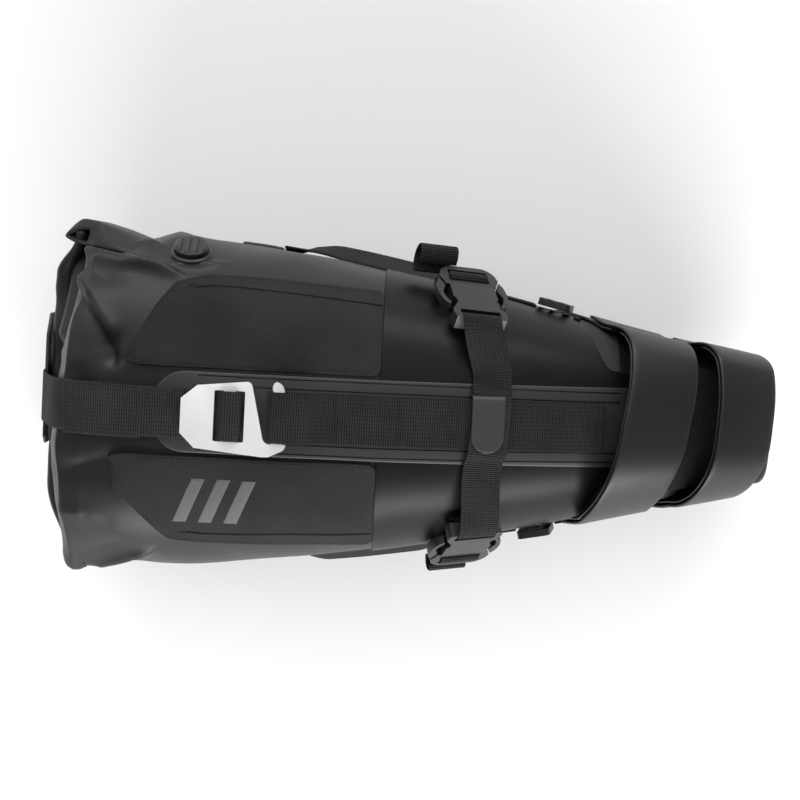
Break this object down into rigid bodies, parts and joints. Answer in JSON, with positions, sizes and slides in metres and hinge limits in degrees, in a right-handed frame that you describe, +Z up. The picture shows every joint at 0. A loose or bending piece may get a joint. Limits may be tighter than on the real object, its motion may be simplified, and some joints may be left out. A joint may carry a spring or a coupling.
{
  "type": "saddle bag",
  "caption": "Tapered roll-top saddle bag with a hooked closure strap, daisy chain, side-release cross strap, air valve and wrap-round seatpost bands.",
  "frame": {"origin": "on the plane of the flat belly, on the centre line, at mid length", "axes": "+X forward to the nose and seatpost, +Y to the bag's left, +Z up"},
  "size_m": [0.3813, 0.1747, 0.1629],
  "materials": {
    "laminate": "smooth welded polyurethane-coated fabric, satin",
    "coated": "thin coated nylon, satin, creased",
    "cordura": "coarse twill weave, matte",
    "webbing": "woven polyester webbing, matte with a faint sheen",
    "rubber": "smooth hypalon-type rubber sheet, satin",
    "plastic": "moulded acetal, fine satin texture",
    "felt": "grey brushed loop felt",
    "aluminium": "bead-blasted, bright silver",
    "stiffener": "polyethylene sheet, plain"
  },
  "bodies": {
    "bag": {"top_panel": "laminate", "left_side_panel": "laminate", "right_side_panel": "laminate", "belly_panel": "laminate", "centre_strip": "laminate", "nose_panel": "coated", "roll_collar": "coated", "left_patch": "cordura", "right_patch": "cordura", "left_nose_patch": "cordura", "right_nose_patch": "cordura", "closure_strap_root": "webbing", "daisy_chain": "webbing", "cross_strap": "webbing", "left_anchor_web": "webbing", "right_anchor_web": "webbing", "left_side_strap": "webbing", "right_side_strap": "webbing", "left_nose_web": "webbing", "right_nose_web": "webbing", "keeper_root": "rubber", "left_side_anchor": "rubber", "right_side_anchor": "rubber", "rear_band_base": "rubber", "rear_band_inner": "rubber", "front_band_base": "rubber", "front_band_inner": "rubber", "valve_body": "plastic", "valve_nut": "plastic", "left_buckle_female": "plastic", "right_buckle_female": "plastic", "nose_pad": "felt", "belly_stiffener": "stiffener", "left_nose_stiffener": "stiffener", "right_nose_stiffener": "stiffener", "top_nose_stiffener": "stiffener"},
    "roll": {"roll_top": "coated", "roll_stiffener": "stiffener", "rear_light_patch": "rubber", "closure_strap_rear": "webbing"},
    "hook": {"closure_hook": "aluminium", "closure_strap_front": "webbing"},
    "rear_flap": {"rear_band_flap": "rubber"},
    "front_flap": {"front_band_flap": "rubber"},
    "keeper": {"keeper_tab": "rubber"},
    "valve": {"valve_cap": "plastic"},
    "left_lock": {"left_ladder_lock": "plastic"},
    "right_lock": {"right_ladder_lock": "plastic"},
    "left_male": {"left_buckle_male": "plastic", "left_strap_loop": "webbing", "left_strap_tail": "webbing"},
    "right_male": {"right_buckle_male": "plastic", "right_strap_loop": "webbing", "right_strap_tail": "webbing"},
    "left_front_arm": {"left_arm_front": "plastic"},
    "left_back_arm": {"left_arm_rear": "plastic"},
    "right_front_arm": {"right_arm_front": "plastic"},
    "right_back_arm": {"right_arm_rear": "plastic"}
  },
  "joints": [
    {"name": "roll_travel", "type": "slide", "parent": "bag", "child": "roll", "axis": [-1, 0, 0], "range_m": [0, 0.08], "deforming": ["roll_collar"]},
    {"name": "hook_release", "type": "slide", "parent": "bag", "child": "hook", "axis": [0, -1, 0], "range_m": [0, 0.032]},
    {"name": "rear_band_peel", "type": "hinge", "parent": "bag", "child": "rear_flap", "pos_m": [0.12265, 0.04761, 0.09639], "axis": [-0.9385, 0.1828, 0.293], "range_deg": [0, 100]},
    {"name": "front_band_peel", "type": "hinge", "parent": "bag", "child": "front_flap", "pos_m": [0.1639, 0.04132, 0.08203], "axis": [-0.9066, 0.1618, 0.3898], "range_deg": [0, 100]},
    {"name": "keeper_peel", "type": "hinge", "parent": "bag", "child": "keeper", "pos_m": [0.04213, 0.0136, 0.1458], "axis": [-0.9719, 0, 0.2353], "range_deg": [0, 110]},
    {"name": "valve_twist", "type": "hinge", "parent": "bag", "child": "valve", "pos_m": [-0.10896, 0.07805, 0.12183], "axis": [0.0119, 0.8711, 0.4911], "range_deg": [0, 90]},
    {"name": "left_lock_tilt", "type": "hinge", "parent": "bag", "child": "left_lock", "pos_m": [0.08276, 0.05704, 0.07575], "axis": [0.1503, -0.0343, -0.9881], "range_deg": [0, 25]},
    {"name": "left_buckle_release", "type": "slide", "parent": "bag", "child": "left_male", "axis": [-0.2129, 0.586, -0.7818], "range_m": [0, 0.03]},
    {"name": "right_lock_tilt", "type": "hinge", "parent": "bag", "child": "right_lock", "pos_m": [0.07877, -0.05797, 0.07511], "axis": [-0.1506, -0.0337, 0.988], "range_deg": [0, 25]},
    {"name": "right_buckle_release", "type": "slide", "parent": "bag", "child": "right_male", "axis": [-0.213, -0.5038, -0.8371], "range_m": [0, 0.03]},
    {"name": "left_front_squeeze", "type": "hinge", "parent": "left_male", "child": "left_front_arm", "pos_m": [0.04379, 0.06616, 0.10524], "axis": [-0.2343, -0.8075, -0.5414], "range_deg": [0, 5], "stiffness_Nm_per_rad": 0.2},
    {"name": "left_back_squeeze", "type": "hinge", "parent": "left_male", "child": "left_back_arm", "pos_m": [0.01496, 0.06823, 0.11464], "axis": [0.2343, 0.8075, 0.5414], "range_deg": [0, 5], "stiffness_Nm_per_rad": 0.2},
    {"name": "right_front_squeeze", "type": "hinge", "parent": "right_male", "child": "right_front_arm", "pos_m": [0.04702, -0.06622, 0.10094], "axis": [0.233, -0.8583, 0.4573], "range_deg": [0, 5], "stiffness_Nm_per_rad": 0.2},
    {"name": "right_back_squeeze", "type": "hinge", "parent": "right_male", "child": "right_back_arm", "pos_m": [0.01817, -0.06919, 0.11007], "axis": [-0.233, 0.8583, -0.4573], "range_deg": [0, 5], "stiffness_Nm_per_rad": 0.2}
  ]
}
